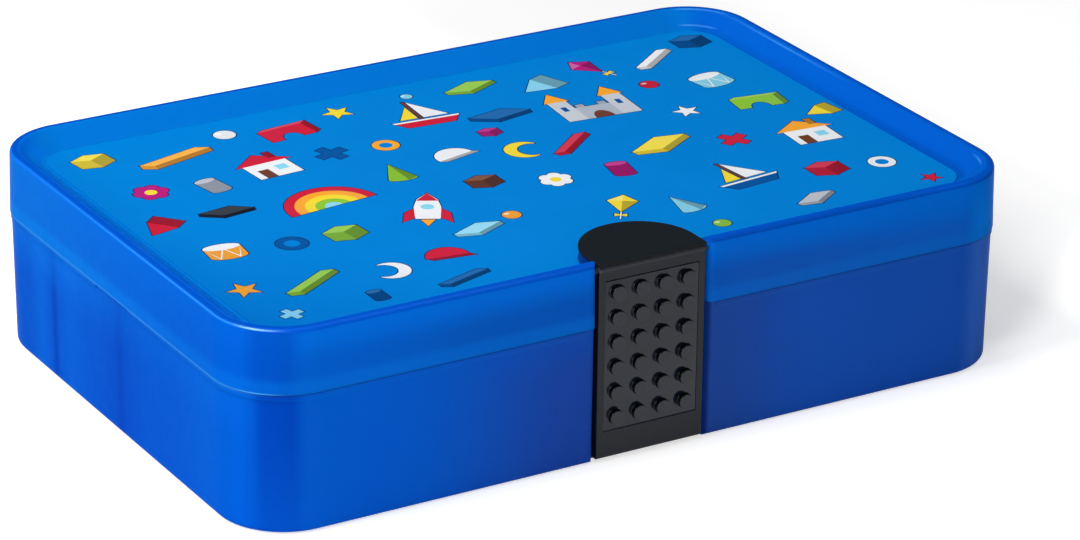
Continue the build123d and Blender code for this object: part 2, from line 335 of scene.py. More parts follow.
def shell_surface(finish, polish):
    """Gives a blue finish its colour, a faint haze, and a polish on the edges that catch the light."""
    haze = finish.noise(HAZE_SIZE, 2.0)
    finish.feed(
        Base_Color=finish.colour,
        Roughness=0.22 + haze * 0.1,
        Coat_Weight=polish * 0.2,
        Normal=finish.bump(haze, 0.01, 0.03, finish.soft_edges(0.25)))
    return finish.material


def paint_slope(finish, spot):
    """The slope from the rim down to the sunken panel, with painted light and shade: lighter at the rear,
    darkest on the right.
    """
    y, z, inset = spot.y, spot.z, spot.inset
    above = z.rise(UNDERSIDE, UNDERSIDE + 1)
    slope = inset.rise(RIM_WIDTH - 0.2, RIM_WIDTH + 0.6) * above
    # Painted light and shade: the rear slope lighter, the right slope darker, the left slope lighter towards
    # its foot and bluer towards the front
    finish.paint(slope * spot.rear * 0.9, (4, 121, 214))
    finish.paint(slope * spot.right * 0.95, finish.fade(y.rise(-60, 60), (1, 81, 183), (3, 92, 197)))
    finish.paint(slope * spot.left * 0.95, finish.fade(inset.rise(4, 8), (3, 106, 228), (4, 128, 244)))
    finish.paint(slope * spot.left * y.fall(-70, 60) * 0.4, (2, 98, 240))
    # Painted light: the foot is painted near the print's blue, except on the right, to hide the dark line of
    # shade at the sheet's edge
    foot = inset.rise(SLOPE_FOOT - 0.2, SLOPE_FOOT + 0.6) * z.fall(PANEL + 0.1, PANEL + 0.6) * above
    finish.paint(foot * (1 - spot.right) * 0.9, (2, 120, 204))

    # Painted highlights, thin lines of light: round the far corner, along the right, and round the right
    # front corner; the right slope above its foot is also painted a little lighter
    far = spot.out_right.rise(0.2, 0.5) * spot.out_rear.rise(0.2, 0.5)
    far_lines = inset.near(3.6, 0.5) * 0.6 + inset.near(9.0, 0.5) * 0.5
    finish.paint(far * slope * far_lines, (90, 175, 255))
    finish.paint(slope * spot.right * inset.fall(8.5, 10) * 0.5, (5, 100, 214))
    finish.paint(slope * spot.right * inset.near(4.1, 0.5) * y.near(40, 45) * 0.6, (60, 150, 240))
    turn = spot.out_right.near(0.93, 0.12) * spot.out_front.rise(0, 0.2)
    finish.paint(slope * turn * inset.near(4.6, 0.5) * 0.6, (70, 150, 240))


def paint_skirt(finish, spot):
    """The lid's outer wall, with painted light and shade: paler at its upper half and its lip, lighter on
    the left and the right, duller beside the latch and darker at the near corner.
    """
    x, y, z = spot.x, spot.y, spot.z
    skirt = spot.inset.fall(0.9, 1.3)
    # Painted light and shade: the left side lighter towards the rear, the front duller beside the latch and
    # lighter towards its right end, and the right side paler
    finish.paint(skirt * spot.left * 0.85, finish.fade(y.rise(-70, 80), (2, 91, 209), (10, 112, 219)))
    ahead = skirt * spot.front
    finish.paint(ahead * abs(x).fall(40, 115) * 0.45, (16, 80, 172))
    finish.paint(ahead * x.rise(15, 30) * 0.85, finish.fade(x.rise(15, 115), (20, 91, 196), (8, 114, 235)))
    finish.paint(ahead * x.rise(15, 50) * z.fall(46, 60) * 0.35, (34, 84, 176))
    finish.paint(skirt * spot.out_right.rise(0, 0.4) * 0.85, (6, 134, 255))
    # Painted light: the upper half paler, least on the left side
    upper = skirt * z.rise(52, 62)
    shares = 0.5 + spot.front * x.fall(20, 90) * 0.3 - spot.left * 0.3
    finish.paint(upper * shares, (4, 114, 230))
    finish.paint(upper * spot.front * x.rise(15, 60) * 0.4, (2, 124, 246))

    # Painted light: the lip above the seam paler; painted shade: the near corner darker
    lip = skirt * z.fall(LIP_TOP - 1.2, LIP_TOP + 1.6)
    finish.paint(lip * spot.left * 0.5, finish.fade(y.rise(-50, 30), (2, 90, 208), (6, 124, 228)))
    near_corner = spot.out_front.rise(0.45, 0.72) * spot.out_front.fall(0.9, 1.0)
    near_corner = near_corner * spot.out_left.rise(0, 0.25)
    finish.paint(skirt * near_corner * 0.75, (2, 78, 192))
    finish.paint(lip * 0.35, (10, 120, 226))


def paint_edges(finish, spot):
    """The lid's two edges, at the seam and round the rim, with painted highlights and painted shade along
    them.
    """
    x, y, z, inset = spot.x, spot.y, spot.z, spot.inset
    # Painted shade: a dark line along the seam in front; painted highlight: a light line along it on the
    # left
    seam = inset.fall(0.9, 1.3) * z.fall(SEAM + 0.1, SEAM + 0.6)
    finish.paint(seam * spot.front * 0.2, (2, 58, 148))
    finish.paint(seam * spot.left * 0.5, (70, 165, 250))

    # Painted shade along the front rim's top edge
    brow = z.rise(TOP - 1.6, TOP - 0.9) * inset.fall(1.2, 1.6) * spot.front
    shade = finish.fade(x.rise(70, 115), (2, 76, 184), (2, 88, 208))
    shade = finish.mix(x.rise(-110, 40), linear((2, 84, 202)), shade)
    finish.paint(brow * 0.9, shade)

    # Painted highlights: a soft line along the left rim, and glints on the rim and at the seam round the
    # near corner
    crest = z.rise(TOP - 0.9, TOP - 0.5)
    finish.paint(inset.near(0.75, 0.4) * crest * spot.left * y.fall(-60, 100) * 0.5, (60, 160, 255))
    glint = spot.out_front.near(0.65, 0.3) * spot.out_left.rise(0.3, 0.6)
    finish.paint(glint * inset.near(0.7, 0.35) * crest * 0.9, (150, 215, 255))
    finish.paint(glint * seam * 0.9, (64, 165, 255))

    # Painted shade: a dark line round the outer rim on the right and at the rear
    rim = z.rise(TOP - 1.5, TOP - 0.6) * inset.fall(1.4, 2.0)
    behind = spot.out_front.fall(0.3, 0.75)
    finish.paint(rim * (spot.right * behind + spot.rear * x.rise(0, 60) * 0.4) * 0.9, (16, 64, 130))


def lid_finish():
    """The lid's blue, with painted light and shade: paler where light would gather in its thin walls and
    edges, darker on the rim's flat top and on the side of the boss.
    """
    finish = shell_blue("Lid blue", (5, 97, 207), (4, 92, 203))
    spot = Spot(finish)
    z, inset = spot.z, spot.inset
    # Painted shade: the flat top of the rim darker
    rim_top = z.rise(TOP - 0.5, TOP - 0.2) * inset.rise(0.7, 1.1)
    finish.paint(rim_top * inset.fall(RIM_WIDTH, RIM_WIDTH + 0.4) * 0.8, (2, 77, 188))
    paint_slope(finish, spot)
    paint_skirt(finish, spot)
    paint_edges(finish, spot)

    # Painted shade on the side of the boss under the tab
    back = spot.y - TAB_CENTRE
    reach = (spot.x * spot.x + back * back).root()
    boss = reach.fall(BOSS_RADIUS + 0.2, BOSS_RADIUS + 0.6) * z.rise(PANEL + 0.1, PANEL + 0.6)
    finish.paint(boss * spot.y.rise(RECESS_BACK, RECESS_BACK + 0.5) * 0.85, (8, 56, 118))
    return shell_surface(finish, z.rise(TOP - 1.0, TOP - 0.4) * inset.fall(0.9, 1.6))


def tray_finish():
    """The tray's blue, with painted light and shade: darker bands where the long dividers stand behind the
    side walls, paler bands between them, and lighter or darker places on the front, at the corners and along
    the ledge.
    """
    finish = shell_blue("Tray blue", (4, 89, 204), (3, 83, 199))
    spot = Spot(finish)
    x, y, z = spot.x, spot.y, spot.z
    outside = spot.inset.fall(1.6, 2.0)
    side = abs(spot.out_right).rise(0.6, 0.95) * outside
    front = spot.out_front.rise(0.6, 0.95) * outside

    finish.paint(side * 0.9, (3, 86, 204))
    # Painted light and shade on the side walls: paler bands between the dividers, darker bands where they
    # stand behind the wall, and the upper left lighter
    rear_wall, front_wall = DIVIDERS
    paler = y.near(rear_wall + 10, 9) + y.near(rear_wall - 12, 14) * 0.7 + y.near(-64, 30) * 0.6
    finish.paint(side * paler * 0.8, (4, 100, 216))
    darker = y.near(rear_wall, 3.2) + y.near(front_wall, 3.6) * 0.6 + y.near(front_wall, 20) * 0.45
    finish.paint(side * darker * 0.75, (2, 62, 182))
    bright = z.rise(26, 42) * (0.2 + y.rise(-20, 40) * 0.3)
    finish.paint(side * spot.out_left.rise(0, 0.5) * bright, (6, 116, 228))

    # Painted light and shade on the front: duller in the middle, darker beside the latch, lighter at the
    # left end and the right end, and a painted shadow at the right edge of the latch's recess
    finish.paint(front * abs(x).fall(20, 110) * 0.6, (34, 72, 160))
    finish.paint(front * x.rise(-80, -25) * x.fall(-16, -12) * z.fall(30, 43) * 0.35, (40, 60, 138))
    finish.paint(front * x.rise(12, 20) * 0.85, finish.fade(x.rise(20, 60), (38, 76, 160), (30, 88, 192)))
    finish.paint(front * x.fall(-100, -20) * 0.7, (6, 94, 206))
    finish.paint(outside * spot.out_right.rise(0, 0.4) * 0.7, (62, 116, 218))
    finish.paint(x.near(RECESS_EDGE, 1.5) * y.fall(RECESS_BACK - 1, RECESS_BACK) * 0.7, (2, 24, 92))

    # Painted shade at the near corner, and painted light where it turns into the left side
    near_corner = spot.out_front.rise(0.6, 0.74) * spot.out_front.fall(0.93, 1.0)
    near_corner = near_corner * spot.out_left.rise(0, 0.2)
    finish.paint(outside * near_corner * z.rise(-30, 40) * 0.85, (2, 66, 184))
    turn = spot.out_left.near(0.9, 0.12) * spot.out_front.rise(0.1, 0.4) * outside
    finish.paint(turn * 0.5, (4, 98, 216))

    # Painted highlight along the ledge on the left, and painted shade along it in front
    ledge = z.rise(SEAM - 0.8, SEAM - 0.5)
    finish.paint(ledge * spot.out_left.rise(0.5, 0.95) * 0.5, (40, 140, 240))
    finish.paint(ledge * spot.front * 0.4, (2, 58, 148))
    return shell_surface(finish, ledge * 0.3)


def divider_finish():
    """The dividers' blue, polished along the top."""
    finish = shell_blue("Divider blue", (4, 92, 200), (3, 82, 188))
    z = finish.axes()[2]
    return shell_surface(finish, z.rise(DIVIDER_TOP - 0.6, DIVIDER_TOP - 0.2))


def printed_finish():
    """Satin printed film: flat inks with a faint unevenness, and painted shade a little darker towards the
    near left and along the left edge.
    """
    finish = Finish("Printed film", IOR=1.07)
    finish.colour = finish.node("ShaderNodeAttribute", {"attribute_name": "Ink"}, {}, "Color")
    patchy = finish.noise(PATCH_SIZE, 2.0)
    finish.paint(patchy.rise(0.3, 0.7) * 0.06, (0, 88, 170))
    x, y = finish.axes()[:2]
    # Painted shade: darker towards the near left and along the left edge
    finish.paint(x.fall(-125, -40) * y.fall(-75, 15), (228, 232, 242), "MULTIPLY")
    finish.paint(x.fall(-124, -104) * 0.8, (235, 238, 243), "MULTIPLY")
    grain = finish.noise(FILM_GRAIN_SIZE, 2.0)
    finish.feed(
        Base_Color=finish.colour,
        Roughness=0.34 + grain * 0.1,
        Normal=finish.bump(grain, 0.01, 0.2))
    return finish.material


def black_plastic(name, dark, light, ior):
    """Moulded black plastic, smudged a little, and the noise of its fine grain."""
    finish = Finish(name, IOR=ior)
    grain = finish.noise(GRAIN_SIZE, 3.0, 0.6)
    smudge = finish.noise(SMUDGE_SIZE, 2.0)
    finish.colour = finish.fade(smudge.rise(0.3, 0.7) * 0.6 + grain * 0.4, dark, light)
    return finish, grain


def black_surface(finish, grain, roughness):
    """Gives a black finish its colour and its eroded grain."""
    finish.feed(
        Base_Color=finish.colour,
        Roughness=roughness + grain * 0.12,
        Normal=finish.bump(grain, 0.03, 0.35, finish.soft_edges(0.3)))
    return finish.material


def latch_finish():
    """The latch's black, with painted light and shade: darker on the tab's top and front edge, lighter at
    the plate's rounded top and on the walls of its pocket.
    """
    finish, grain = black_plastic("Latch black", (9, 16, 24), (14, 21, 30), 1.33)
    x, y, z = finish.axes()
    out_z = finish.facing("Z")
    tab = z.rise(TAB_UNDERSIDE - 0.2, TAB_UNDERSIDE)
    tab_edge = tab * out_z.fall(0.5, 0.9)
    # Painted shade: the tab's top and its front edge darker
    finish.paint(out_z.rise(0.5, 0.9) * tab, (6, 18, 25))
    finish.paint(tab_edge * y.fall(-87, -86) * 0.8, (4, 7, 10))

    # Painted light on the plate's rounded top, under the tab
    round_top = z.rise(PLATE_TOP - 1.75, PLATE_TOP - 1.15) * z.fall(PLATE_TOP + 0.05, PLATE_TOP + 0.1)
    finish.paint(round_top, finish.fade(z.fall(PLATE_TOP - 0.45, PLATE_TOP), (38, 42, 48), (60, 63, 69)))

    # Painted light on the side and bottom walls of the pocket round the studs
    beside = abs(x).near(POCKET_SIDE, 0.15) * z.rise(POCKET_BOTTOM - 0.25, POCKET_BOTTOM - 0.05)
    beside = beside * z.fall(POCKET_TOP + 0.05, POCKET_TOP + 0.25)
    below = z.near(POCKET_BOTTOM, 0.15) * abs(x).fall(POCKET_SIDE - 0.1, POCKET_SIDE + 0.1)
    finish.paint(abs(finish.facing("Y")).fall(0.4, 0.8) * (beside + below), (84, 88, 94))
    return black_surface(finish, grain, 0.34 + tab_edge * 0.4)


def stud_finish():
    """The studs' black, with painted shade darkest on the sides of the studs."""
    finish, grain = black_plastic("Stud black", (7, 16, 29), (11, 20, 34), 1.41)
    x, _, z = finish.axes()
    # Painted shade on the sides of the studs
    inside = abs(x).fall(POCKET_SIDE - 0.4, POCKET_SIDE - 0.25)
    inside = inside * z.rise(POCKET_BOTTOM + 0.25, POCKET_BOTTOM + 0.4)
    finish.paint(abs(finish.facing("Y")).fall(0.4, 0.8) * inside, (5, 6, 8))
    return black_surface(finish, grain, 0.08)


def steel_finish():
    """Drawn steel wire, with fine lines along its length."""
    finish = Finish("Pin steel", Metallic=1.0)
    stretched = finish.node("ShaderNodeMapping", {}, {"Vector": finish.place, "Scale": WIRE_SCALE})
    lines = finish.node("ShaderNodeTexNoise", {}, {"Vector": stretched, "Scale": 1.0, "Detail": 3.0})
    finish.colour = finish.fade(lines, (150, 152, 156), (196, 198, 202))
    finish.feed(
        Base_Color=finish.colour,
        Roughness=0.28 + lines * 0.15,
        Normal=finish.bump(lines, 0.01, 0.3))
    return finish.material


def grey(level):
    """A linear grey with alpha."""
    return (level, level, level, 1.0)


def floor_finish():
    """A white floor, lifted for the camera and in reflections: by less in a patch where the box's shadow
    falls, a painted shadow that deepens it, and a little more to the right of the box.
    """
    finish = Finish("White floor", Roughness=0.8, Base_Color=grey(FLOOR_GREY), IOR=1.1)
    seen = finish.node("ShaderNodeLightPath", {}, {}, "Is Camera Ray")
    mirrored = finish.node("ShaderNodeLightPath", {}, {}, "Is Glossy Ray")
    x, y = finish.axes()[:2]
    # Painted shadow: a patch right of the box where the floor's own light is lowered, deepest towards the
    # back
    shadow = x.rise(60, 135) * y.rise(-86, -68) * (y - x * 0.8).rise(-204, -180) * y.fall(260, 420)
    bare = finish.mix(x.rise(128, 146), *map(grey, FLOOR_LIGHT))
    shaded = finish.mix(y.rise(-40, 10) * x.fall(210, 260), *map(grey, SHADOW_LIGHT))
    lift = finish.mix(shadow, bare, shaded)
    finish.feed(Emission_Color=finish.mix(seen.at_least(mirrored), grey(0), lift))
    finish.shader.inputs["Emission Strength"].default_value = 1.0
    return finish.material


def new_piece(name, mesh, finish, body, slot, *nodes):
    """A finished piece that rides on a body, in the place of the nodes that it stands for."""
    piece = bpy.data.objects.new(name, mesh)
    bpy.context.scene.collection.objects.link(piece)
    mesh.materials.clear()
    mesh.materials.append(finish)
    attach(piece, body)
    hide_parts(*nodes)
    return piece


def mesh_from(shape, name):
    """A mesh from a bmesh, which it frees."""
    mesh = bpy.data.meshes.new(name)
    shape.to_mesh(mesh)
    shape.free()
    return mesh


def ring_stack(rings):
    """A closed solid through rings of points, capped at both ends."""
    shape = bmesh.new()
    loops = [[shape.verts.new(point) for point in ring] for ring in rings]
    for lower, upper in zip(loops, loops[1:]):
        for i, corner in enumerate(lower):
            j = (i + 1) % len(lower)
            shape.faces.new((corner, lower[j], upper[j], upper[i]))
    shape.faces.new(reversed(loops[0]))
    shape.faces.new(loops[-1])
    bmesh.ops.recalc_face_normals(shape, faces=shape.faces)
    return shape


def round_steps(rounding, count):
    """Inset and drop of each step round a quarter circle, from the side up to the top."""
    turns = [math.pi / 2 * i / count for i in range(count + 1)]
    return [(rounding * (1 - math.cos(turn)), rounding * (1 - math.sin(turn))) for turn in turns]


def smooth_by_angle(mesh, degrees=35):
    """Shades a mesh smooth, with its sharp edges kept."""
    mesh.shade_smooth()
    mesh.set_sharp_from_angle(angle=math.radians(degrees))


def disc(width, height, start=0, end=360, steps=32, x=0, y=0):
    """An ellipse or a part of one, anticlockwise."""
    whole = end - start >= 360
    turns = [math.radians(start + (end - start) * i / steps) for i in range(steps + (not whole))]
    return [(x + width / 2 * math.cos(turn), y + height / 2 * math.sin(turn)) for turn in turns]


def block(width, height, x=0, y=0):
    """An upright rectangle about a middle."""
    w, h = width / 2, height / 2
    return [(x - w, y - h), (x + w, y - h), (x + w, y + h), (x - w, y + h)]


def tint(ink, share):
    """An ink mixed with black below 1, or with white above it."""
    colour = INKS[ink]
    if share <= 1:
        return tuple(value * share for value in colour)
    return tuple(value + (255 - value) * (share - 1) for value in colour)


def cuboid(ink, long, deep, high):
    """A building block seen from a corner: top, left and right faces."""
    ax, ay = 0.87 * long, 0.34 * long
    bx, by = -0.87 * deep, 0.34 * deep
    cx, cy = (ax + bx) / 2, (ay + by) / 2
    base = [(-cx, -cy), (ax - cx, ay - cy), (bx - cx, by - cy), (ax + bx - cx, ay + by - cy)]
    near, right, left, far = base
    def up(point):
        return point[0], point[1] + high
    return [
        ([near, right, up(right), up(near)], tint(ink, 0.72)),
        ([left, near, up(near), up(left)], tint(ink, 0.86)),
        ([up(near), up(right), up(far), up(left)], tint(ink, 1.12)),
    ]


def cube(ink):
    """A small cube."""
    return cuboid(ink, 7, 7, 7)


def plank(ink):
    """A long flat block."""
    return cuboid(ink, 24, 5, 3)


def slab(ink):
    """A low square block."""
    return cuboid(ink, 13, 9, 2.4)


def arch(ink):
    """A bridge block with a round opening."""
    hole = disc(8, 10, 0, 180, 20, 0, -5)
    return [
        ([(-9, -5), (-4, -5)] + hole[-2:0:-1] + [(4, -5), (9, -5), (9, 5.5), (-9, 5.5)], tint(ink, 1)),
        ([(9, -5), (11.5, -3.4), (11.5, 7), (9, 5.5)], tint(ink, 0.7)),
        ([(-9, 5.5), (9, 5.5), (11.5, 7), (-6.5, 7)], tint(ink, 1.2)),
    ]


def prism(ink):
    """A roof block."""
    return [
        ([(-7, -4), (4, -4), (-1.5, 6)], tint(ink, 1)),
        ([(4, -4), (9, -1), (3.5, 9), (-1.5, 6)], tint(ink, 0.74)),
    ]


def pillar(ink):
    """A round pillar."""
    return [
        (disc(8, 3.4, 180, 360, 16, 0, -5) + [(4, 5), (-4, 5)], tint(ink, 0.8)),
        (disc(8, 3.4, x=0, y=5), tint(ink, 1.15)),
    ]


def cone(ink):
    """A cone with a darker side."""
    return [
        (disc(10, 4, 180, 360, 16, 0, -5) + [(0, 8)], tint(ink, 0.95)),
        ([(0, 8), (1.4, -6.9), (5, -5)], tint(ink, 0.72)),
    ]


def half_round(ink):
    """A half-round block lying on its flat side."""
    return [
        (disc(15, 15, 0, 180, 24, 0, -3), tint(ink, 1)),
        ([(-7.5, -3), (-5.5, -4.8), (9.5, -4.8), (7.5, -3)], tint(ink, 0.7)),
    ]


def ball(ink):
    """A ball with a highlight."""
    return [
        (disc(8, 8), tint(ink, 0.95)),
        (disc(2.6, 1.8, x=-1.4, y=1.8), tint(ink, 1.6)),
    ]


def star(ink):
    """A star of five points."""
    points = []
    for i in range(10):
        reach = 6 if i % 2 == 0 else 2.6
        turn = math.radians(90 + 36 * i)
        points.append((reach * math.cos(turn), reach * math.sin(turn)))
    return [(points, tint(ink, 1))]


def ring(ink):
    """A ring, its hole in the colour of the ground."""
    return [
        (disc(11, 11), tint(ink, 1)),
        (disc(5.4, 5.4), INKS["ground"]),
    ]


def cross(ink):
    """An upright cross."""
    return [([(-2, -6), (2, -6), (2, -2), (6, -2), (6, 2), (2, 2),
              (2, 6), (-2, 6), (-2, 2), (-6, 2), (-6, -2), (-2, -2)], tint(ink, 1))]


def boat(ink):
    """A sailing boat."""
    return [
        ([(-9, -6), (9, -6), (13, 0), (-13, 0)], tint(ink, 1)),
        ([(-12.2, -1.2), (12.2, -1.2), (13, 0), (-13, 0)], INKS["white"]),
        (block(1, 18, -1, 9), INKS["brown"]),
        ([(0, 1.6), (9.5, 1.6), (0, 17)], INKS["white"]),
        ([(-2.2, 1.6), (-2.2, 13), (-9, 1.6)], INKS["yellow"]),
    ]


def house(ink):
    """A house with a chimney."""
    return [
        (block(16, 12, 0, -3), INKS["white"]),
        ([(-10.5, 3), (10.5, 3), (0, 11)], tint(ink, 1)),
        (block(4, 7, -3.4, -5.5), INKS["brown"]),
        (block(4, 4, 3.6, -2.4), INKS["sky"]),
        (block(2.6, 5, 5, 8.6), tint(ink, 0.7)),
    ]


def rocket(ink):
    """A rocket with two fins and a flame."""
    return [
        ([(-4, -7), (-8, -11), (-7.4, -3), (-4, 1)], tint(ink, 1)),
        ([(4, -7), (4, 1), (7.4, -3), (8, -11)], tint(ink, 1)),
        ([(-4, -8), (4, -8), (4.4, 2), (3.4, 8), (0, 13.5), (-3.4, 8), (-4.4, 2)], INKS["white"]),
        ([(3.6, 7), (0, 13.5), (-3.6, 7)], tint(ink, 1)),
        (disc(4.4, 4.4, x=0, y=2), INKS["sky"]),
        ([(-2.4, -8.6), (0, -14), (2.4, -8.6)], INKS["orange"]),
    ]


def castle(ink):
    """A toy castle with two towers."""
    return [
        (block(16, 11, 0, -2.5), INKS["grey"]),
        (block(7, 18, -10, 1), tint("grey", 1.3)),
        (block(7, 18, 10, 1), tint("grey", 1.3)),
        ([(-14.6, 10), (-5.4, 10), (-10, 18)], tint(ink, 1)),
        ([(5.4, 10), (14.6, 10), (10, 18)], tint(ink, 1)),
        (disc(7, 12, 0, 180, 18, 0, -8), INKS["brown"]),
        (block(2, 4, -10, 3), INKS["navy"]),
        (block(2, 4, 10, 3), INKS["navy"]),
        (block(3, 2.4, -4, 4.2), tint("grey", 0.9)),
        (block(3, 2.4, 4, 4.2), tint("grey", 0.9)),
    ]


def flower(ink):
    """A flower of six petals."""
    petals = []
    for i in range(6):
        turn = math.radians(60 * i)
        petals.append((disc(5.6, 5.6, x=4 * math.cos(turn), y=4 * math.sin(turn)), tint(ink, 1)))
    return petals + [(disc(4.6, 4.6), INKS["yellow"])]


def kite(ink):
    """A kite with a bow on its tail."""
    return [
        ([(0, -9), (6, 2), (0, 8), (-6, 2)], tint(ink, 1)),
        ([(0, -9), (6, 2), (0, 2)], tint(ink, 0.75)),
        ([(0, 2), (0, 8), (-6, 2)], tint(ink, 1.3)),
        (block(0.5, 7, 0, -12.5), INKS["white"]),
        ([(-2.4, -13.4), (0, -12.4), (2.4, -13.4), (2.4, -10.6), (0, -11.6), (-2.4, -10.6)], INKS["yellow"]),
    ]


def rainbow(ink):
    """Nested bridge blocks."""
    bands = ((34, "red"), (27, "orange"), (20, "yellow"), (13, "lime"))
    arcs = [(disc(size, size, 0, 180, 36, 0, -7), INKS[band]) for size, band in bands]
    return arcs + [(disc(6.5, 6.5, 0, 180, 20, 0, -7), tint(ink, 1))]


def drum(ink):
    """A drum with laces."""
    return [
        (disc(13, 5, 180, 360, 18, 0, -4) + [(6.5, 4), (-6.5, 4)], tint(ink, 0.95)),
        ([(-6.5, 4), (-3.4, -6), (0, 2), (3.4, -6),
          (6.5, 4), (3.4, -4.8), (0, 3.2), (-3.4, -4.8)], INKS["white"]),
        (disc(13, 5, x=0, y=4), INKS["white"]),
    ]


def moon(ink):
    """A crescent moon."""
    outer = disc(13, 13, 50, 310, 28)
    inner = disc(9.8, 9.8, 72, 288, 24, 2.6, 0)
    return [(outer + inner[::-1], tint(ink, 1))]


# Motif, ink, place on the sheet in millimetres, turn in degrees and size, in the order of printing
MOTIFS = (
    (cube, "yellow", -107, 62, 8, 1.0), (plank, "orange", -84, 54, -6, 1.0),
    (ball, "white", -62, 66, 0, 0.9), (arch, "red", -44, 58, 6, 0.9),
    (star, "yellow", -22, 66, 12, 0.9), (boat, "red", 0, 48, -4, 0.9),
    (slab, "lime", 26, 64, 4, 1.0), (prism, "sky", 47, 56, -8, 1.0),
    (kite, "magenta", 68, 64, 24, 0.8), (plank, "white", 92, 58, 16, 0.8),
    (cube, "navy", 111, 64, 0, 1.0), (flower, "magenta", -103, 34, 0, 0.85),
    (pillar, "grey", -84, 30, 10, 0.9), (house, "red", -62, 36, 4, 0.95),
    (cross, "navy", -40, 36, 20, 0.9), (ring, "orange", -22, 34, 0, 0.8),
    (slab, "navy", 22, 38, -10, 1.1), (castle, "orange", 52, 30, -5, 0.95),
    (ball, "red", 78, 40, 0, 0.8), (drum, "sky", 98, 34, 8, 0.95), (prism, "red", -112, 8, 12, 0.9),
    (slab, "black", -90, 8, -14, 0.9), (rainbow, "sky", -60, 4, 7, 0.9),
    (cone, "lime", -30, 12, -6, 0.95), (half_round, "white", -8, 18, 14, 0.9),
    (moon, "yellow", 14, 10, -20, 1.0), (plank, "red", 30, 6, 18, 0.8),
    (star, "white", 76, 14, 0, 0.8), (arch, "lime", 100, 10, -8, 0.85),
    (drum, "orange", -104, -18, -6, 0.9), (ring, "navy", -84, -22, 0, 0.9),
    (cube, "lime", -66, -26, 6, 1.0), (rocket, "red", -36, -18, -28, 0.95),
    (cube, "brown", -10, -10, 0, 0.9), (flower, "white", 10, -16, 10, 0.8),
    (pillar, "magenta", 32, -18, -10, 0.9), (slab, "yellow", 54, -8, 10, 1.2),
    (cross, "red", 76, -14, 30, 0.85), (house, "orange", 100, -20, -4, 0.95),
    (star, "orange", -112, -46, 8, 0.9), (plank, "lime", -92, -52, 10, 0.85),
    (moon, "white", -68, -54, 160, 0.9), (half_round, "red", -48, -50, -8, 0.9),
    (slab, "sky", -30, -40, 4, 0.9), (ball, "orange", -16, -34, 0, 0.75),
    (kite, "yellow", 18, -42, -34, 0.8), (cone, "sky", 34, -52, 8, 0.9),
    (boat, "navy", 62, -44, 6, 0.85), (cube, "red", 88, -52, 0, 1.0),
    (ring, "white", 106, -52, 0, 0.8), (prism, "yellow", 114, -6, -20, 0.75),
    (pillar, "navy", -80, -68, 0, 0.6), (ball, "lime", 36, -70, 0, 0.7),
    (slab, "grey", 72, -68, 12, 0.8), (plank, "navy", -52, -70, -4, 0.7),
    (cross, "sky", -108, -68, 15, 0.6), (star, "red", 112, -70, 20, 0.6),
    (ball, "sky", 4, 68, 0, 0.5), (cube, "magenta", 12, 26, 0, 0.6),
)


def anticlockwise(points):
    """A polygon with its corners in anticlockwise order."""
    area = sum(points[i - 1][0] * y - x * points[i - 1][1] for i, (x, y) in enumerate(points))
    return points if area > 0 else points[::-1]


def grow(points, width):
    """A polygon moved outwards on every side by a width."""
    grown = []
    for i, here in enumerate(points):
        before, after = points[i - 1], points[(i + 1) % len(points)]
        first = Vector((here[1] - before[1], before[0] - here[0])).normalized()
        second = Vector((after[1] - here[1], here[0] - after[0])).normalized()
        outward = (first + second).normalized()
        reach = width / max(outward.dot(first), 0.5)
        grown.append((here[0] + outward.x * reach, here[1] + outward.y * reach))
    return grown


def printed_shapes():
    """Every printed shape in the order of printing, in millimetres on the sheet."""
    shapes = []
    for motif, ink, x, y, turn, size in MOTIFS:
        parts = [(anticlockwise(points), colour) for points, colour in motif(ink)]
        turned = Matrix.Rotation(math.radians(turn), 4, "Z") @ Matrix.Scale(size, 4)
        place = Matrix.Translation((x, y, 0)) @ turned
        outlines = [(grow(points, OUTLINE_WIDTH / size), INKS["outline"]) for points, _ in parts]
        for points, colour in outlines + parts:
            moved = [(place @ Vector((px, py, 0))).to_2d() for px, py in points]
            shapes.append((moved, colour))
    return shapes


def sheet_outline():
    """The outline of the printed sheet's top, anticlockwise in millimetres, and its two heights."""
    shape = bmesh.new()
    shape.from_mesh(frame["nodes"]["printed_sheet"].data)
    bmesh.ops.remove_doubles(shape, verts=shape.verts, dist=SAME_POINT * MM)
    low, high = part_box("printed_sheet")
    tops = {face for face in shape.faces if min(corner.co.z for corner in face.verts) > high.z - LEVEL * MM}
    edges = [edge for edge in shape.edges if sum(face in tops for face in edge.link_faces) == 1]
    links = {}
    for edge in edges:
        for corner in edge.verts:
            links.setdefault(corner, []).append(edge.other_vert(corner))
    start = here = edges[0].verts[0]
    before = None
    loop = []
    while not loop or here is not start:
        loop.append((here.co / MM).to_2d())
        ahead = next(corner for corner in links[here] if corner is not before)
        before, here = here, ahead
    shape.free()
    return anticlockwise(loop), low.z, high.z


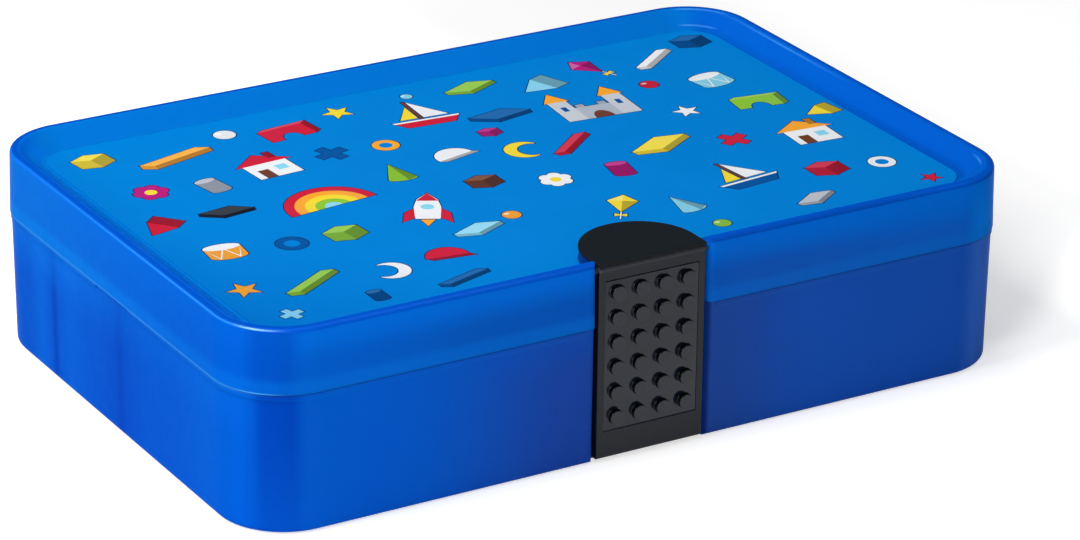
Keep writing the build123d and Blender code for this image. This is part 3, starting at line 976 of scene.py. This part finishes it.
def printed_sheet():
    """The sheet on the lid, its top divided along every printed edge and its inks kept by face."""
    outline, low, high = sheet_outline()
    regions = [(outline, INKS["ground"])] + printed_shapes()
    corners = []
    loops = []
    for points, _ in regions:
        loops.append(list(range(len(corners), len(corners) + len(points))))
        corners.extend(points)
    spots, _, triangles, spot_sources, _, sources = delaunay_2d_cdt(
        corners, [], loops, INSIDE_LOOPS, SAME_CORNER)
    shape = bmesh.new()
    ink = shape.loops.layers.float_color.new("Ink")
    tops = [shape.verts.new((spot.x * MM, spot.y * MM, high)) for spot in spots]
    bottoms = [shape.verts.new((spot.x * MM, spot.y * MM, low)) for spot in outline]
    shades = [linear(colour) for _, colour in regions]
    for triangle, inside in zip(triangles, sources):
        if 0 not in inside:
            continue
        face = shape.faces.new([tops[i] for i in triangle])
        for loop in face.loops:
            loop[ink] = shades[max(inside)]
    lookup = {}
    for i, given in enumerate(spot_sources):
        for source in given:
            lookup[source] = tops[i]
    rim = [lookup[i] for i in range(len(outline))]
    sides = [shape.faces.new((bottoms[i - 1], bottoms[i], rim[i], rim[i - 1])) for i in range(len(rim))]
    sides.append(shape.faces.new(bottoms[::-1]))
    for face in sides:
        for loop in face.loops:
            loop[ink] = shades[0]
    loose = [corner for corner in shape.verts if not corner.link_faces]
    bmesh.ops.delete(shape, geom=loose, context="VERTS")
    bmesh.ops.recalc_face_normals(shape, faces=shape.faces)
    return mesh_from(shape, "printed_film")


def stud_mesh():
    """One building stud standing on the XY plane, with a rounded rim."""
    levels = [(STUD_RADIUS, 0.0)]
    for inset, drop in round_steps(STUD_ROUNDING, 4):
        levels.append((STUD_RADIUS - inset, STUD_HEIGHT - drop))
    levels.append((STUD_RADIUS - 2 * STUD_ROUNDING, STUD_HEIGHT))
    turns = [2 * math.pi * i / STUD_SIDES for i in range(STUD_SIDES)]
    rings = [
        [(radius * math.cos(turn) * MM, radius * math.sin(turn) * MM, height * MM) for turn in turns]
        for radius, height in levels]
    mesh = mesh_from(ring_stack(rings), "stud")
    smooth_by_angle(mesh)
    return mesh


def rounded_outline(half_x, half_y, radius, steps=5):
    """A rectangle with round corners, anticlockwise about the origin."""
    points = []
    for quarter, (sx, sy) in enumerate(((1, 1), (-1, 1), (-1, -1), (1, -1))):
        for i in range(steps + 1):
            turn = math.radians(90 * (quarter + i / steps))
            points.append((
                sx * (half_x - radius) + radius * math.cos(turn),
                sy * (half_y - radius) + radius * math.sin(turn)))
    return points


def stud_plate_mesh(half_x, half_y, thickness):
    """The plate that the studs stand on, its top at z = 0."""
    levels = [(0.0, -thickness)] + [(inset, -drop) for inset, drop in round_steps(PANEL_ROUNDING, 3)]
    rings = []
    for inset, height in levels:
        outline = rounded_outline(half_x - inset, half_y - inset, PANEL_CORNER - inset)
        rings.append([(x * MM, y * MM, height * MM) for x, y in outline])
    mesh = mesh_from(ring_stack(rings), "stud_plate")
    smooth_by_angle(mesh)
    return mesh


def stud_tree(stud):
    """Geometry nodes that set studs on a grid over the piece that they are given."""
    tree = bpy.data.node_groups.new("Stud field", "GeometryNodeTree")
    face = tree.interface
    face.new_socket("Geometry", in_out="OUTPUT", socket_type="NodeSocketGeometry")
    face.new_socket("Geometry", in_out="INPUT", socket_type="NodeSocketGeometry")
    for label, kind in (("Columns", "Int"), ("Rows", "Int"), ("Pitch", "Float"), ("Finish", "Material")):
        face.new_socket(label, in_out="INPUT", socket_type="NodeSocket" + kind)

    nodes = Nodes(tree)
    given = {socket.name: Sock(nodes, socket) for socket in tree.nodes.new("NodeGroupInput").outputs}
    grid = nodes.node("GeometryNodeMeshGrid", {}, {
        "Size X": (given["Columns"] - 1) * given["Pitch"], "Size Y": (given["Rows"] - 1) * given["Pitch"],
        "Vertices X": given["Columns"], "Vertices Y": given["Rows"]})
    source = nodes.node("GeometryNodeObjectInfo", {}, {"Object": stud}, "Geometry")
    studs = nodes.node("GeometryNodeInstanceOnPoints", {}, {"Points": grid, "Instance": source})
    both = nodes.node("GeometryNodeJoinGeometry", {}, {"Geometry": [studs, given["Geometry"]]})
    real = nodes.node("GeometryNodeRealizeInstances", {}, {"Geometry": both})
    done = nodes.node("GeometryNodeSetMaterial", {}, {"Geometry": real, "Material": given["Finish"]})
    tree.links.new(done.socket, tree.nodes.new("NodeGroupOutput").inputs["Geometry"])
    return tree


def grown_mesh(base, tree, values):
    """The plain mesh that a geometry node tree makes from a base mesh."""
    holder = bpy.data.objects.new("grower", base)
    bpy.context.scene.collection.objects.link(holder)
    modifier = holder.modifiers.new("Grow", "NODES")
    modifier.node_group = tree
    for item in tree.interface.items_tree:
        if item.in_out == "INPUT" and item.name in values:
            modifier[item.identifier] = values[item.name]
    bpy.context.view_layer.update()
    evaluated = holder.evaluated_get(bpy.context.evaluated_depsgraph_get())
    mesh = bpy.data.meshes.new_from_object(evaluated)
    bpy.data.objects.remove(holder)
    return mesh


def stud_field(finish):
    """The plate of studs in the latch's pocket, facing -Y."""
    low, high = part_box("stud_panel")
    stud = bpy.data.objects.new("stud_pattern", stud_mesh())
    bpy.context.scene.collection.objects.link(stud)
    half_x = (high.x - low.x) / 2 / MM + PANEL_FIT
    half_z = (high.z - low.z) / 2 / MM + (PANEL_FIT_ABOVE + PANEL_FIT_BELOW) / 2
    front = low.y + STUD_HEIGHT * MM
    plate = stud_plate_mesh(half_x, half_z, (high.y - front) / MM)
    plate.transform(Matrix.Translation((0, (PANEL_FIT_ABOVE - PANEL_FIT_BELOW) / 2 * MM, 0)))
    mesh = grown_mesh(plate, stud_tree(stud), {
        "Columns": STUD_COLUMNS, "Rows": STUD_ROWS, "Pitch": STUD_PITCH * MM, "Finish": finish})
    bpy.data.objects.remove(stud)
    upright = Matrix.Rotation(math.radians(90), 4, "X")
    mesh.transform(Matrix.Translation((0, front, (low.z + high.z) / 2)) @ upright)
    return mesh


def make_camera():
    """The camera at the photograph's place, with its small roll."""
    camera = bpy.data.objects.new("Camera", bpy.data.cameras.new("Camera"))
    bpy.context.scene.collection.objects.link(camera)
    camera.data.sensor_width = SENSOR_WIDTH
    camera.data.lens = CAMERA_FOCUS * SENSOR_WIDTH / FRAME_WIDTH
    azimuth, elevation = math.radians(CAMERA_AZIMUTH), math.radians(CAMERA_ELEVATION)
    back = Vector((
        -math.sin(azimuth) * math.cos(elevation), -math.cos(azimuth) * math.cos(elevation),
        math.sin(elevation)))
    right = Vector((0, 0, 1)).cross(back).normalized()
    turn = Matrix((right, back.cross(right), back)).transposed().to_4x4()
    roll = Matrix.Rotation(math.radians(CAMERA_ROLL), 4, "Z")
    camera.matrix_world = Matrix.Translation(Vector(CAMERA_PLACE) * MM) @ turn @ roll
    bpy.context.scene.camera = camera


def make_lamp(name, place, aim, size, power, spread):
    """A soft square lamp aimed at a point, its beam narrowed to a spread in degrees."""
    lamp = bpy.data.objects.new(name, bpy.data.lights.new(name, "AREA"))
    bpy.context.scene.collection.objects.link(lamp)
    lamp.data.size = size
    lamp.data.energy = power
    lamp.data.spread = math.radians(spread)
    away = Vector(place) - Vector(aim)
    lamp.matrix_world = Matrix.Translation(place) @ away.to_track_quat("Z", "Y").to_matrix().to_4x4()


def make_floor():
    """The floor, which reaches past what the camera sees."""
    shape = bmesh.new()
    bmesh.ops.create_grid(shape, x_segments=1, y_segments=1, size=FLOOR_REACH)
    floor = bpy.data.objects.new("Floor", mesh_from(shape, "floor"))
    bpy.context.scene.collection.objects.link(floor)
    floor.data.materials.append(floor_finish())


def make_world():
    """Soft light all round, and white where the camera sees past the floor."""
    world = bpy.data.worlds.new("Studio")
    world.use_nodes = True
    tree = world.node_tree
    nodes = Nodes(tree)
    light = tree.nodes["Background"]
    light.inputs["Color"].default_value = grey(1.0)
    light.inputs["Strength"].default_value = WORLD_STRENGTH
    seen = nodes.node("ShaderNodeBackground", {}, {"Color": grey(1.0)})
    camera_ray = nodes.node("ShaderNodeLightPath", {}, {}, "Is Camera Ray")
    mixed = nodes.node("ShaderNodeMixShader", {}, {0: camera_ray, 1: Sock(nodes, light.outputs[0]), 2: seen})
    tree.links.new(mixed.socket, tree.nodes["World Output"].inputs["Surface"])
    bpy.context.scene.world = world


def dress_box():
    """Gives every piece its finish, and adds the two pieces with finer shapes."""
    studded = stud_finish()
    finishes = {
        "lid_plastic": lid_finish(),
        "tray_plastic": tray_finish(),
        "divider_plastic": divider_finish(),
        "latch_plastic": latch_finish(),
        "pin_steel": steel_finish(),
    }
    for part in frame["record"]["subparts"]:
        finish = finishes.get(part["material_slot"])
        if finish is not None:
            node = frame["nodes"][part["node"]]
            node.data.materials.clear()
            node.data.materials.append(finish)
    new_piece("printed_film", printed_sheet(), printed_finish(), "lid", "printed_sheet", "printed_sheet")
    new_piece("stud_field", stud_field(studded), studded, "latch", "stud_plastic", "stud_panel")


make_camera()
make_floor()
make_world()
for lamp in LAMPS:
    make_lamp(*lamp)
bpy.context.scene.view_settings.view_transform = "Standard"
dress_box()
